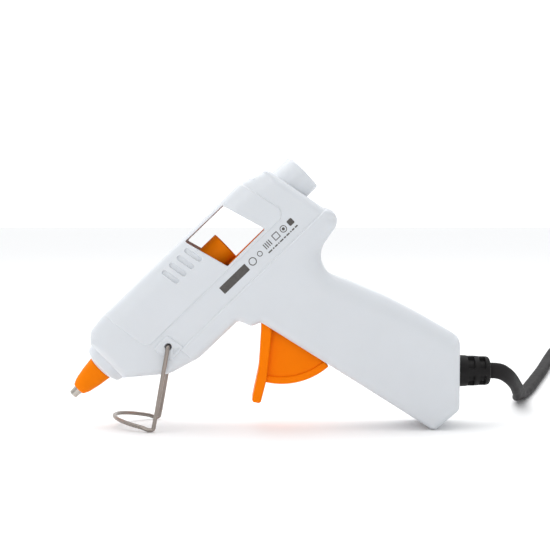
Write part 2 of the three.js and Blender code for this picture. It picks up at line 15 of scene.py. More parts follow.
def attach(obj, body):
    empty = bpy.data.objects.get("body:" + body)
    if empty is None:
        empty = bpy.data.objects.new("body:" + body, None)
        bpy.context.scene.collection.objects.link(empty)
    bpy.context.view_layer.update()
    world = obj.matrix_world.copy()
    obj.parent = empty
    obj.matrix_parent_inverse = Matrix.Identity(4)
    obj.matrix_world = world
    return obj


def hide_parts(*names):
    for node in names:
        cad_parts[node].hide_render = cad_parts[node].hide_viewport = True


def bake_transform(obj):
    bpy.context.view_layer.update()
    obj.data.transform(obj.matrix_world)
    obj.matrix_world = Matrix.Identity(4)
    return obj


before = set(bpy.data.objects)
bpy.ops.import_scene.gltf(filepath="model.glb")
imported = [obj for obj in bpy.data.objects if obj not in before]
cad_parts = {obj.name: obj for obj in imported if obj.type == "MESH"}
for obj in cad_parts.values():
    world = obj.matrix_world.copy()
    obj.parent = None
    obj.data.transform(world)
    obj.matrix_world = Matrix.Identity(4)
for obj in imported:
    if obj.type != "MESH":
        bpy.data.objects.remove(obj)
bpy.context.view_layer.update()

MM = 0.001

# ---------- driving dimensions ----------
TILT = math.radians(44)  # of the barrel, nose down
NOZZLE_TIP = (-74.72, 12.43)
STICK_BORE_R = 3.9

BAND_HALF_WIDTH = 13.0
PROUD = 0.5  # of the side panel and the handle over the band
EDGE_R = 3.0
SIDE_INNER_Y = 11.2  # inner face of a side wall
SIDE_WALL = 1.8
WALL = 0.75  # of the top, bottom and ends at their rims
CROWN_DROP = 4.2  # the sides curve in by this much towards the barrel's top and the handle's back
CROWN_REACH = 7.5
SEAM_Y = 0.04  # each half stops this far from y = 0
SEAM_CHAMFER = 0.16
BARREL_TOP = -13.7
BARREL_UNDERSIDE = 23.6
BELT_LINE = 16.1

PIVOT = (7.4, 44.7)  # trigger
PIN_R = 1.5
SECTOR_R = 27.8
DRIVE = (87.08, 11.57)  # along and across the barrel
DRIVE_R = 1.5

STAND_PIVOT = (-36.3, 32.7)
WIRE_R = 0.8
ROUND_WIRE_INSET = 0.015  # keeps the round wire inside the CAD's faceted one
LEG_Y = 14.6

CORD_Z = 21.45
CORD_WIDTH = 6.3
CORD_THICKNESS = 3.8

SCREW_PLACES_IN_BARREL = [(53.5, 17.2), (46.0, -8.7), (113.5, 12.6)]
SCREW_PLACES_IN_HANDLE = [(40.0, 41.0), (69.0, 11.0)]
SCREW_SEAT_Y = 8.0
SCREW_HEAD_R = 2.3


# ---------- camera ----------
def make_camera():
    camera = bpy.data.cameras.new("camera")
    camera.lens = 76.8
    camera.sensor_width = 36
    obj = bpy.data.objects.new("camera", camera)
    bpy.context.scene.collection.objects.link(obj)
    obj.location = (-0.00425, -0.460, 0.0841)
    aim = Vector((0.00476, 0.0, 0.0594)) - obj.location
    obj.rotation_euler = aim.to_track_quat("-Z", "Y").to_euler()
    bpy.context.scene.camera = obj


# ---------- plane geometry ----------
def barrel_point(u, v):
    """u runs along the barrel's axis from the nozzle's tip, v square to it and downwards."""
    x = NOZZLE_TIP[0] + u * math.cos(TILT) + v * math.sin(TILT)
    z = NOZZLE_TIP[1] + u * math.sin(TILT) - v * math.cos(TILT)
    return x, z


def in_barrel(corners):
    return [(*barrel_point(corner[0], corner[1]), *corner[2:]) for corner in corners]


def across_barrel(points):
    """v of each point [x, z]."""
    return (points[:, 0] - NOZZLE_TIP[0]) * math.sin(TILT) - (points[:, 1] - NOZZLE_TIP[1]) * math.cos(TILT)


def outline(corners, inset=0.0, arc_step=7.0):
    """Corners (a, b, radius), counter-clockwise, moved inwards by inset, with each rounded corner an arc."""
    points = []
    places = np.array([corner[:2] for corner in corners], float)
    for i, corner in enumerate(corners):
        before = places[i] - places[i - 1]
        after = places[(i + 1) % len(corners)] - places[i]
        before /= np.linalg.norm(before)
        after /= np.linalg.norm(after)
        in_before = np.array([-before[1], before[0]])
        in_after = np.array([-after[1], after[0]])
        place = places[i] + (in_before + in_after) * inset / (1 + in_before @ in_after)
        given = corner[2] if len(corner) > 2 else 0
        turn = math.atan2(before[0] * after[1] - before[1] * after[0], before @ after)
        if given == 0:
            points.append(place)
            continue
        side = math.copysign(1, turn)
        radius = max(given - side * inset, 0.05)
        start = place - before * radius * math.tan(abs(turn) / 2)
        centre = start + in_before * side * radius
        steps = max(2, math.ceil(abs(math.degrees(turn)) / arc_step))
        for k in range(steps + 1):
            angle = turn * k / steps
            c, s = math.cos(angle), math.sin(angle)
            arm = start - centre
            points.append(centre + (c * arm[0] - s * arm[1], s * arm[0] + c * arm[1]))
    return np.array(points)


def cuts_for(loop, spacing):
    """How many parts each edge of a loop is cut into."""
    lengths = np.linalg.norm(np.roll(loop, -1, 0) - loop, axis=1)
    return np.maximum(1, np.ceil(lengths / spacing).astype(int))


def subdivided(loop, cuts):
    following = np.roll(loop, -1, 0)
    parts = [start + (end - start) * k / n
             for start, end, n in zip(loop, following, cuts) for k in range(n)]
    return np.array(parts)


def fine(loop, spacing=1.2):
    return subdivided(loop, cuts_for(loop, spacing))


def circle(centre, radius, sides=40):
    angles = np.arange(sides) * 2 * math.pi / sides
    return np.stack([centre[0] + radius * np.cos(angles), centre[1] + radius * np.sin(angles)], 1)


def distance(points, loop):
    """Unsigned distance of each point to a closed loop."""
    ends = np.roll(loop, -1, 0)
    along = ends - loop
    best = np.full(len(points), np.inf)
    for start, step in zip(loop, along):
        share = np.clip(((points - start) @ step) / max(step @ step, 1e-12), 0, 1)
        best = np.minimum(best, np.linalg.norm(points - start - share[:, None] * step, axis=1))
    return best


def distance_to_line(points, line):
    """Distance of each point to an open line."""
    best = np.full(len(points), np.inf)
    for start, step in zip(line[:-1], np.diff(line, axis=0)):
        share = np.clip(((points - start) @ step) / max(step @ step, 1e-12), 0, 1)
        best = np.minimum(best, np.linalg.norm(points - start - share[:, None] * step, axis=1))
    return best


def inside(points, loop):
    ends = np.roll(loop, -1, 0)
    within = np.zeros(len(points), bool)
    x, y = points[:, 0], points[:, 1]
    for (ax, ay), (bx, by) in zip(loop, ends):
        crosses = (ay > y) != (by > y)
        if by != ay:
            within ^= crosses & (x < (bx - ax) * (y - ay) / (by - ay) + ax)
    return within


def depth_in(points, loop):
    """Distance to a loop, positive inside it."""
    return np.where(inside(points, loop), 1, -1) * distance(points, loop)


# ---------- solids: each is (points, faces) ----------
def joined(*shells):
    points, faces = [], []
    for shell_points, shell_faces in shells:
        start = len(points)
        points.extend(tuple(p) for p in shell_points)
        faces.extend(tuple(start + i for i in face) for face in shell_faces)
    return points, faces


def mirrored(shell):
    points, faces = shell
    return [(x, -y, z) for x, y, z in points], [tuple(reversed(face)) for face in faces]


def loft(layers):
    """Closed solid through rings of equal count: layers are [(x, y, z), ...] each."""
    count = len(layers[0])
    points = [tuple(p) for layer in layers for p in layer]
    last = (len(layers) - 1) * count
    faces = [tuple(reversed(range(count))), tuple(range(last, last + count))]
    for k in range(len(layers) - 1):
        for i in range(count):
            j = (i + 1) % count
            faces.append((k * count + i, k * count + j, (k + 1) * count + j, (k + 1) * count + i))
    return points, faces


def rounded_plate(corners, y0, y1, radius, steps=4, arc_step=7.0):
    """A plate in the XZ plane from y0 to y1 with rounded edges."""
    rows = [(0.0, radius + 0.12)]
    for k in range(steps + 1):
        angle = k / steps * math.pi / 2
        rows.append((radius * (1 - math.cos(angle)), radius * (1 - math.sin(angle))))
    ends = [(y0 + depth, inset) for depth, inset in rows]
    ends += [(y1 - depth, inset) for depth, inset in reversed(rows)]
    rings = [(y, outline(corners, inset, arc_step)) for y, inset in ends]
    return loft([[(x, y, z) for x, z in ring] for y, ring in rings])


def softened(profile, radius):
    """A closed profile [(along, r)] with small arcs at its corners, apart from those on the axis."""
    out = []
    for i, corner in enumerate(profile):
        here = np.array(corner, float)
        before = np.array(profile[i - 1], float) - here
        after = np.array(profile[(i + 1) % len(profile)], float) - here
        size = min(radius, 0.4 * np.linalg.norm(before), 0.4 * np.linalg.norm(after))
        if here[1] == 0 or size < 1e-6:
            out.append(tuple(here))
            continue
        start = here + before / np.linalg.norm(before) * size
        end = here + after / np.linalg.norm(after) * size
        for t in (0.0, 0.25, 0.5, 0.75, 1.0):
            out.append(tuple((1 - t) ** 2 * start + 2 * t * (1 - t) * here + t * t * end))
    return out


def on_barrel(along, side, up):
    x, z = barrel_point(along, -up)
    return x, side, z


def on_relief(along, side, up):
    return along, side, CORD_Z + up


def on_y_axis(centre):
    return lambda along, a, b: (centre[0] + a, along, centre[1] + b)


def lathe(profile, place, segments=72, start=0.0, sweep=2 * math.pi):
    """A closed profile [(along, r)] turned about an axis. A part turn gets flat ends."""
    full = abs(sweep - 2 * math.pi) < 1e-9
    rings = segments if full else segments + 1
    count = len(profile)
    points = []
    for j in range(rings):
        angle = start + sweep * j / segments
        points += [place(a, r * math.sin(angle), r * math.cos(angle)) for a, r in profile]
    faces = []
    for j in range(segments):
        this, following = j * count, ((j + 1) % rings) * count
        for i in range(count):
            k = (i + 1) % count
            if profile[i][1] == 0 and profile[k][1] == 0:
                continue
            faces.append((this + i, this + k, following + k, following + i))
    if not full:
        faces.append(tuple(range(count)))
        faces.append(tuple(reversed(range(segments * count, rings * count))))
    return points, faces


def smooth_path(knots, spacing):
    """Points of a centripetal Catmull-Rom curve through the knots."""
    knots = np.array(knots, float)
    knots = np.vstack([2 * knots[0] - knots[1], knots, 2 * knots[-1] - knots[-2]])
    out = []
    for k in range(1, len(knots) - 2):
        p = knots[k - 1:k + 3]
        t = np.concatenate([[0], np.cumsum(np.sqrt(np.linalg.norm(np.diff(p, axis=0), axis=1)))])
        count = max(1, math.ceil(np.linalg.norm(p[2] - p[1]) / spacing))
        for s in t[1] + (t[2] - t[1]) * np.arange(count) / count:
            a = [p[i] + (p[i + 1] - p[i]) * (s - t[i]) / (t[i + 1] - t[i]) for i in range(3)]
            b = [a[i] + (a[i + 1] - a[i]) * (s - t[i]) / (t[i + 2] - t[i]) for i in range(2)]
            out.append(b[0] + (b[1] - b[0]) * (s - t[1]) / (t[2] - t[1]))
    out.append(knots[-2])
    return np.array(out)


def tangents(path):
    steps = np.gradient(path, axis=0)
    return steps / np.linalg.norm(steps, axis=1)[:, None]


def carried_along(path, first):
    """A direction square to the path, carried along it without twist."""
    across = np.array(first, float)
    out = []
    for t in tangents(path):
        across = across - (across @ t) * t
        across /= np.linalg.norm(across)
        out.append(across)
    return np.array(out)


def sweep(path, across, section):
    """A closed tube: section points (a, b), a along across and b square to it and to the path."""
    through = np.cross(tangents(path), across)
    layers = [[centre + a * w + b * n for a, b in section] for centre, w, n in zip(path, across, through)]
    return loft(layers)


def round_section(radius, sides=20):
    return [(radius * math.cos(2 * math.pi * i / sides), radius * math.sin(2 * math.pi * i / sides))
            for i in range(sides)]


# ---------- materials ----------
def shader_nodes(name):
    look = bpy.data.materials.new(name)
    look.use_nodes = True
    tree = look.node_tree
    shader = next(n for n in tree.nodes if n.type == "BSDF_PRINCIPLED")
    return look, tree, shader


def noise(tree, scale, detail=3.0, roughness=0.55, stretch=(1, 1, 1)):
    """A noise texture in the object's own metres. scale is in features per metre."""
    place = tree.nodes.new("ShaderNodeTexCoord")
    mapping = tree.nodes.new("ShaderNodeMapping")
    mapping.inputs["Scale"].default_value = stretch
    texture = tree.nodes.new("ShaderNodeTexNoise")
    texture.inputs["Scale"].default_value = scale
    texture.inputs["Detail"].default_value = detail
    texture.inputs["Roughness"].default_value = roughness
    tree.links.new(place.outputs["Object"], mapping.inputs["Vector"])
    tree.links.new(mapping.outputs["Vector"], texture.inputs["Vector"])
    return texture.outputs["Fac"]


def ranged(tree, value, low, high):
    node = tree.nodes.new("ShaderNodeMapRange")
    node.inputs["From Min"].default_value = 0.3
    node.inputs["From Max"].default_value = 0.7
    node.inputs["To Min"].default_value = low
    node.inputs["To Max"].default_value = high
    tree.links.new(value, node.inputs["Value"])
    return node.outputs["Result"]


def linear(colour):
    return [c / 12.92 if c <= 0.04045 else ((c + 0.055) / 1.055) ** 2.4 for c in colour]


def finish_of(name, colour, rough, *, metal=0.0, vary=0.03, grain=3000, bump=0.02, stretch=(1, 1, 1),
              rough_vary=0.06, patch=60, subsurface=0.0, coat=0.0, gloss=0.5):
    """A material: colour is sRGB 0..1, vary the change of lightness, bump the grain's depth in millimetres."""
    look, tree, shader = shader_nodes(name)
    base = linear(colour)
    mix = tree.nodes.new("ShaderNodeMix")
    mix.data_type = "RGBA"
    mix.inputs["A"].default_value = (*[c * (1 - vary) for c in base], 1)
    mix.inputs["B"].default_value = (*[min(1, c * (1 + vary)) for c in base], 1)
    tree.links.new(ranged(tree, noise(tree, patch, 4.0, stretch=stretch), 0, 1), mix.inputs["Factor"])
    tree.links.new(mix.outputs["Result"], shader.inputs["Base Color"])
    wear = noise(tree, patch * 3.7, 5.0, 0.65, stretch)
    worn = ranged(tree, wear, rough - rough_vary, rough + rough_vary)
    tree.links.new(worn, shader.inputs["Roughness"])
    shader.inputs["Metallic"].default_value = metal
    shader.inputs["Specular IOR Level"].default_value = gloss
    if subsurface:
        shader.inputs["Subsurface Weight"].default_value = subsurface
        shader.inputs["Subsurface Radius"].default_value = (1.0, 0.8, 0.6)
        shader.inputs["Subsurface Scale"].default_value = 0.001
    if coat:
        shader.inputs["Coat Weight"].default_value = coat
        shader.inputs["Coat Roughness"].default_value = 0.25
    relief = tree.nodes.new("ShaderNodeBump")
    relief.inputs["Strength"].default_value = 1.0
    relief.inputs["Distance"].default_value = bump * MM
    tree.links.new(noise(tree, grain, 2.0, 0.6, stretch), relief.inputs["Height"])
    tree.links.new(relief.outputs["Normal"], shader.inputs["Normal"])
    return look


LOOKS = {
    "white_plastic": finish_of("white_abs", (0.825, 0.838, 0.855), 0.36, vary=0.012, grain=2600, bump=0.012,
                               subsurface=0.06, coat=0.08),
    "orange_plastic": finish_of("orange_abs", (1.0, 0.50, 0.0), 0.38, vary=0.03, grain=2600, bump=0.01,
                                gloss=0.05),
    "orange_silicone": finish_of("orange_silicone", (0.95, 0.49, 0.0), 0.55, vary=0.06, grain=1500, bump=0.02,
                                 gloss=0.06),
    "nozzle_metal": finish_of("nozzle_metal", (0.74, 0.72, 0.69), 0.30, metal=1, vary=0.10, grain=1800,
                              bump=0.02, rough_vary=0.1),
    "cast_aluminium": finish_of("cast_aluminium", (0.76, 0.77, 0.78), 0.48, metal=1, vary=0.08, grain=900,
                                bump=0.06),
    "insulating_film": finish_of("insulating_film", (0.72, 0.46, 0.12), 0.3, vary=0.08, grain=500, bump=0.03),
    "heater_ceramic": finish_of("heater_ceramic", (0.9, 0.88, 0.82), 0.7, vary=0.05, grain=1500, bump=0.02),
    "contact_brass": finish_of("contact_brass", (0.82, 0.68, 0.38), 0.3, metal=1, vary=0.08, grain=1200,
                               bump=0.01),
    "wire_steel": finish_of("drawn_steel", (0.60, 0.565, 0.54), 0.34, metal=1, vary=0.16, grain=2200,
                            bump=0.02, rough_vary=0.12, stretch=(1, 1, 0.12)),
    "screw_steel": finish_of("screw_steel", (0.62, 0.62, 0.63), 0.32, metal=1, vary=0.08, grain=1800,
                             bump=0.01),
    "black_rubber": finish_of("black_rubber", (0.110, 0.105, 0.105), 0.55, vary=0.10, grain=1800, bump=0.03,
                              gloss=0.15),
    "black_cord": finish_of("black_pvc", (0.165, 0.159, 0.161), 0.6, vary=0.10, grain=1400, bump=0.03,
                            gloss=0.06),
    "plug_plastic": finish_of("plug_pvc", (0.14, 0.135, 0.135), 0.5, vary=0.08, grain=1600, bump=0.03,
                              gloss=0.2),
    "lead_brown": finish_of("brown_lead", (0.42, 0.26, 0.15), 0.45, vary=0.06, grain=1200, bump=0.02),
    "lead_blue": finish_of("blue_lead", (0.17, 0.38, 0.69), 0.45, vary=0.06, grain=1200, bump=0.02),
    "fibreglass": finish_of("fibreglass", (0.92, 0.9, 0.85), 0.75, vary=0.06, grain=2600, bump=0.05),
}
# Dark ink for the band's printed marks; the same material is also used as painted shade for the screws' cross
# recesses.
INK_AND_PAINTED_SHADE = finish_of("printing_ink_and_painted_shade", (0.30, 0.285, 0.275), 0.5, vary=0.12, grain=3500, bump=0.004, patch=900)


def piece(name, shell, slot_name, body="housing", nodes=(), sharp=35, look=None):
    points, faces = shell
    mesh = bpy.data.meshes.new(name)
    mesh.from_pydata([(x * MM, y * MM, z * MM) for x, y, z in points], [], faces)
    work = bmesh.new()
    work.from_mesh(mesh)
    bmesh.ops.remove_doubles(work, verts=work.verts, dist=0.0005 * MM)
    bmesh.ops.recalc_face_normals(work, faces=work.faces)
    work.to_mesh(mesh)
    work.free()
    mesh.shade_smooth()
    mesh.set_sharp_from_angle(angle=math.radians(sharp))
    mesh.materials.append(look or LOOKS[slot_name])
    obj = bpy.data.objects.new(name, mesh)
    bpy.context.scene.collection.objects.link(obj)
    if body:
        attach(obj, body)
    if nodes:
        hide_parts(*nodes)
    return obj


# ---------- cord ----------
CORD_ROUTE = [
    (88.2, 0, 21.45), (89.4, 0, 21.45), (92.0, 0.1, 21.4), (94.5, 1.2, 20.8), (97.6, 4.3, 19.0),
    (101.7, 12.0, 15.6), (106.1, 24.0, 10.9), (110.0, 37.0, 6.6), (113.2, 50.0, 3.6), (117.8, 64.0, 2.4),
    (123.2, 78.0, 2.0), (130.0, 97.0, 2.0), (136.8, 116.5, 2.0), (143.3, 135.0, 2.0), (149.4, 153.0, 2.0),
    (155.0, 170.0, 2.0), (160.2, 186.0, 2.0), (166.2, 203.0, 2.5), (171.6, 218.0, 3.0), (177.0, 231.5, 3.1),
]
TAIL_ROUTE = [
    (270.2, 236.0, 6.7), (272.2, 226.0, 5.2), (273.2, 214.0, 3.2), (273.4, 203.0, 2.2), (273.4, 192.0, 2.6),
    (273.4, 182.0, 5.0), (273.4, 173.0, 6.8), (273.4, 164.0, 6.9),
]
COIL_CENTRE = (224.0, 237.0)
COIL_OUTER_R = 40.8
COIL_INNER_R = 34.2
COIL_LOW_Z = 3.15
COIL_HIGH_Z = 7.25
COIL_FROM = 165.0
COIL_TO = -1055.0


def coil_points(step=3.0):
    """Four turns, clockwise: outer and inner below, then inner and outer above."""
    angles = np.arange(COIL_FROM, COIL_TO - 0.1, -step)
    radius = np.interp(-angles, [140, 190, 760, 806], [COIL_OUTER_R, COIL_INNER_R, COIL_INNER_R, COIL_OUTER_R])
    height = np.interp(-angles, [440, 500], [COIL_LOW_Z, COIL_HIGH_Z])
    turned = np.radians(angles)
    return np.stack([COIL_CENTRE[0] + radius * np.cos(turned), COIL_CENTRE[1] + radius * np.sin(turned),
                     height], 1)


def cord_section():
    """Two cores side by side under one sheath, with a shallow waist between them."""
    core = CORD_THICKNESS / 2
    centre = CORD_WIDTH / 2 - core
    right = [(centre + core * math.cos(a), core * math.sin(a)) for a in np.radians(np.arange(-90, 91, 15))]
    left = [(-x, -y) for x, y in right]
    return [*right, (0, core * 0.93), *left, (0, -core * 0.93)]


def make_cord():
    knots = [*CORD_ROUTE, *coil_points(12.0), *TAIL_ROUTE]
    path = smooth_path(knots, 2.0)
    steps = np.linalg.norm(np.diff(path, axis=0), axis=1)
    run = np.concatenate([[0], np.cumsum(steps)])
    along = tangents(path)
    level = np.cross(along, (0, 0, 1))
    level /= np.linalg.norm(level, axis=1)[:, None]
    up = np.cross(level, along)
    share = np.clip((run - 22) / 62, 0, 1)
    stand = (math.pi / 2) * (1 - share * share * (3 - 2 * share))
    reach = np.hypot(CORD_WIDTH / 2 * np.sin(stand), CORD_THICKNESS / 2 * np.cos(stand))
    path[:, 2] = np.maximum(path[:, 2], reach + 0.05)
    across = level * np.cos(stand)[:, None] + up * np.sin(stand)[:, None]
    cord = piece("power_cord_flex", sweep(path, across, cord_section()), "black_cord",
                 nodes=("power_cord", "cord_coil", "cord_tail"))
    return cord, path


def make_tie():
    """The strap around the coil, a closed band wrapped round the coil's section."""
    turned = math.radians(60)
    middle = 37.5
    half_r, half_z = 6.95, 4.55
    corners = [(-half_r, -half_z, 1.6), (half_r, -half_z, 1.6),
               (half_r, half_z, 1.6), (-half_r, half_z, 1.6)]
    inner = outline(corners, 0)
    outer = outline([(a * 1.09, b * 1.13, 2.2) for a, b, _ in corners], 0)

    def placed(ring, offset):
        c, s = math.cos(turned), math.sin(turned)
        return [(COIL_CENTRE[0] + (middle + a) * c - offset * s,
                 COIL_CENTRE[1] + (middle + a) * s + offset * c,
                 5.3 + b) for a, b in ring]
    rows = [placed(inner, -2.0), placed(outer, -2.0), placed(outer, 2.0), placed(inner, 2.0)]
    count = len(inner)
    points = [p for row in rows for p in row]
    faces = []
    for k in range(4):
        for i in range(count):
            j = (i + 1) % count
            a, b = k * count, ((k + 1) % 4) * count
            faces.append((a + i, a + j, b + j, b + i))
    return piece("cord_tie_strap", (points, faces), "black_rubber", nodes=("cord_tie",))


def squircle(width, height, power, sides=48):
    out = []
    for i in range(sides):
        angle = 2 * math.pi * i / sides
        c, s = math.cos(angle), math.sin(angle)
        out.append((width / 2 * math.copysign(abs(c) ** (2 / power), c),
                    height / 2 * math.copysign(abs(s) ** (2 / power), s)))
    return out


PLUG_PLACE = (273.4, 168.0, 6.9)


def make_plug():
    """A flat two-pin plug. Sections run from the cord to the pins: distance, width, height, squareness."""
    sections = [
        (0.0, 7.6, 6.4, 2.6), (0.4, 8.2, 7.0, 2.6), (2.6, 8.6, 7.3, 2.6), (2.8, 7.7, 6.4, 2.6),
        (4.2, 7.8, 6.5, 2.6), (4.4, 9.2, 7.9, 2.6), (6.6, 9.8, 8.3, 2.7), (6.8, 8.6, 7.2, 2.7),
        (8.2, 8.8, 7.4, 2.7), (8.4, 10.4, 8.9, 2.8),
        (10.8, 11.2, 9.4, 2.8), (11.0, 9.8, 8.2, 2.8), (12.4, 10.2, 8.6, 2.8), (12.6, 12.0, 10.0, 3.0),
        (15.5, 14.2, 11.2, 3.2), (17.0, 15.6, 11.9, 3.5), (20.0, 19.2, 12.7, 4.0), (24.0, 22.6, 13.2, 4.6),
        (28.0, 24.4, 13.5, 5.0), (32.0, 24.9, 13.6, 5.2), (40.0, 24.0, 12.4, 5.2), (44.0, 23.8, 12.2, 5.2),
        (48.0, 24.4, 13.0, 5.2), (50.6, 24.9, 13.6, 5.2), (51.6, 24.5, 13.2, 5.2), (52.0, 23.6, 12.4, 5.2),
    ]
    x, y, z = PLUG_PLACE
    layers = [[(x + a, y - along, z + b) for a, b in squircle(w, h, p)] for along, w, h, p in sections]
    plug = piece("plug_body", loft(layers), "plug_plastic", nodes=("plug",))
    pins = []
    for number, side in ((1, -1), (2, 1)):
        centre = (x + side * 9.5, z)
        face = y - 52.0
        sleeve = [(face + 0.3, 0), (face + 0.3, 1.9), (face - 9.6, 1.9), (face - 10, 1.8), (face - 10, 0)]
        tip = [(face - 9.9, 0), (face - 9.9, 2.0), (face - 17.4, 2.0), (face - 18.6, 1.6), (face - 19.2, 0.9),
               (face - 19.3, 0)]
        sleeve_piece = piece(f"pin_sleeve_{number}", lathe(softened(sleeve, 0.15), on_y_axis(centre), 36),
                             "plug_plastic")
        pin = piece(f"pin_{number}", lathe(softened(tip, 0.3), on_y_axis(centre), 36), "contact_brass",
                    nodes=(f"plug_pin_{number}",))
        pins += [sleeve_piece, pin]
    return [plug, *pins]


def make_cord_and_plug():
    cord, path = make_cord()
    others = [make_tie(), *make_plug()]


# ---------- housing ----------
def on_underside(x):
    """Height of the handle's straight front edge at x."""
    return 41.7 - (x + 0.8) * 42.2 / 66.9


LEVER_WAY = (-2.2, 9.0, 7.6)
SECTOR_WAY = (9.0, 28.6, 5.9)
EDGE_STOPS = [(x, on_underside(x)) for x in (8.98, 9.02, 28.58, 28.62)]
BODY = [
    *in_barrel([(20.6, 8.9), (34.5, 20.1, 6), (47.0, BARREL_UNDERSIDE, 14)]),
    (-9.6, 42.4, 2), (-4.5, 40.2, 1.9), (-0.8, 41.7, 1), *EDGE_STOPS,
    (66.1, -0.5, 2.18), (76.0, 7.6, 3.4), (76.0, 36.0, 5.7), (48.0, 52.2, 160),
    (16.9, 63.1, 9), (31.9, 83.8, 5.1),
    (22.6, 86.0),
    *in_barrel([(115.9, -10.2, 3.2), (104.6, BARREL_TOP, 9), (30.5, BARREL_TOP, 8), (24.0, -12.9, 4),
                (20.6, -9.3)]),
]
PANEL = in_barrel([(31.8, -16), (35.6, 7.0, 3.5), (109.9, 7.0, 3.5), (104.4, -16)])
HANDLE_FACE = [*in_barrel([(44.0, BELT_LINE), (46.5, 40)]), (0, -10), (90, -10), (90, 60), (40, 96),
               *in_barrel([(121.5, BELT_LINE)])]
WINDOW = in_barrel([(74.1, -12.3, 0.5), (79.4, 5.8, 0.6), (99.6, 5.5, 0.6), (94.1, -12.2, 0.5)])
STAND_PAD = [(-42.4, 31.6, 1), (-34.8, 27.2, 0.8), (-30.3, 32.6, 0.5), (-36.7, 37.3, 1)]
STAND_NOTCH = [(-34.5, 32.3), (-34.3, 30.0), (-33.9, 30.0), (-31.9, 32.1), (-32.1, 32.3)]


def slot_outline(u):
    half, end, lean, v = 0.95, 3.65, 0.206, -6.5
    return in_barrel([(u + side * half + lean * dv, v + dv, 0.9)
                      for side, dv in ((-1, -end), (-1, end), (1, end), (1, -end))])


class Feature:
    """A step in the side's level: knots are (distance inside the loop, rise)."""

    def __init__(self, corners, knots):
        self.corners = corners
        self.knots = knots
        self.loop = fine(outline(corners, 0), 3.0)
        self.loops = [fine(outline(corners, inset), 1.5) for inset, _ in knots]

    def rise(self, points):
        near = depth_in(points, self.loop)
        return np.interp(near, [k[0] for k in self.knots], [k[1] for k in self.knots])


def raised_edge(height):
    shape = [(-0.2, 0), (0, 0), (0.08, 0.25), (0.22, 0.62), (0.36, 0.86), (0.55, 1), (0.75, 1)]
    return [(inset, height * share) for inset, share in shape]


def sunk_edge(depth):
    return [(-0.42, 0), (-0.26, 0), (-0.12, -0.04), (-0.03, -0.14), (0.04, -0.4), (0.1, -depth * 0.9),
            (0.25, -depth), (0.4, -depth)]


RAISED = [Feature(PANEL, raised_edge(PROUD)), Feature(HANDLE_FACE, raised_edge(PROUD)),
          Feature(STAND_PAD, raised_edge(PROUD + 0.1))]
SUNK = [Feature(slot_outline(u), sunk_edge(0.75)) for u in (73.0, 69.0, 65.0, 61.0)]
SUNK.append(Feature(STAND_NOTCH, [(-0.1, 0), (0.0, -0.06), (0.12, -0.42), (0.24, -0.5)]))
HOLE_EDGE = [(-0.3, 0), (-0.16, 0), (-0.06, -0.06), (0, -0.18)]


def circle_corners(centre, radius, sides=40):
    return [tuple(p) for p in circle(centre, radius, sides)]


class Hole(Feature):
    """An opening through the side wall, with a slightly rounded rim."""

    def __init__(self, corners):
        super().__init__(corners, HOLE_EDGE)

    def rise(self, points):
        near = np.minimum(depth_in(points, self.loop), 0)
        return np.interp(near, [k[0] for k in self.knots], [k[1] for k in self.knots])


def screw_places():
    return [*[barrel_point(u, v) for u, v in SCREW_PLACES_IN_BARREL], *SCREW_PLACES_IN_HANDLE]


def crowned_stretches(loop):
    """Index ranges of the outline along the handle's back and along the barrel's top."""
    def nearest(place):
        return int(np.argmin(np.linalg.norm(loop - np.array(place), axis=1)))
    ends = [((75.0, 37.8), (32.9, 81.0)), (barrel_point(114.0, -11.0), barrel_point(23.0, -12.0))]
    return [slice(nearest(start), nearest(end) + 1) for start, end in ends]


def cap(rings, features, holes, outer, level, lines=()):
    """Triangles inside rings[0] and outside the holes, and each point's height. lines are open extra edges."""
    places, edges = [], []

    def add_loop(loop, keep=None):
        start = len(places)
        chosen = range(len(loop)) if keep is None else [i for i in range(len(loop)) if keep[i]]
        index = {i: start + n for n, i in enumerate(chosen)}
        places.extend(tuple(loop[i]) for i in chosen)
        for i in index:
            following = (i + 1) % len(loop)
            if following in index:
                edges.append((index[i], index[following]))

    for ring in rings:
        add_loop(ring)
    for line in lines:
        start = len(places)
        places.extend(tuple(p) for p in line)
        edges.extend((start + i, start + i + 1) for i in range(len(line) - 1))
    for feature in features:
        for loop in feature.loops:
            clear = inside(loop, outer) & (distance(loop, outer) > 0.05)
            add_loop(loop, keep=clear)
    low, high = rings[0].min(0), rings[0].max(0)
    grid = np.array([(x, z) for x in np.arange(low[0], high[0], 5.0)
                     for z in np.arange(low[1], high[1], 5.0)])
    roomy = inside(grid, outer) & (distance(grid, outer) > EDGE_R + 1.5)
    places.extend(tuple(p) for p in grid[roomy])
    out = delaunay_2d_cdt([Vector(p) for p in places], edges, [], 0, 1e-5, True)
    points = np.array([tuple(p) for p in out[0]])
    triangles = np.array([tuple(f) for f in out[2]])
    centres = points[triangles].mean(1)
    wanted = inside(centres, rings[0])
    for hole in holes:
        wanted &= ~inside(centres, hole.loops[-1])
    source = {i: k for k, group in enumerate(out[3]) for i in group}
    return points, [tuple(t) for t in triangles[wanted]], source, level(points)


def plain_level(points, outer):
    """Distance of the side's surface from y = 0, without its slots and holes."""
    near = np.clip(depth_in(points, outer), 0, EDGE_R)
    rounding = EDGE_R - np.sqrt(np.maximum(EDGE_R ** 2 - (EDGE_R - near) ** 2, 0))
    for stretch in crowned_stretches(outer):
        away = 1 - np.minimum(distance_to_line(points, outer[stretch]) / CROWN_REACH, 1)
        rounding = np.maximum(rounding, CROWN_DROP * (1 - np.sqrt(np.maximum(1 - away * away, 0))))
    raised = np.max([feature.rise(points) for feature in RAISED], axis=0)
    return BAND_HALF_WIDTH + raised - rounding


def side_level(points, outer, holes):
    sunk = np.sum([feature.rise(points) for feature in [*SUNK, *holes]], axis=0)
    return plain_level(points, outer) + sunk


def inner_level(points, outer):
    return np.minimum(plain_level(points, outer) - SIDE_WALL, SIDE_INNER_Y)


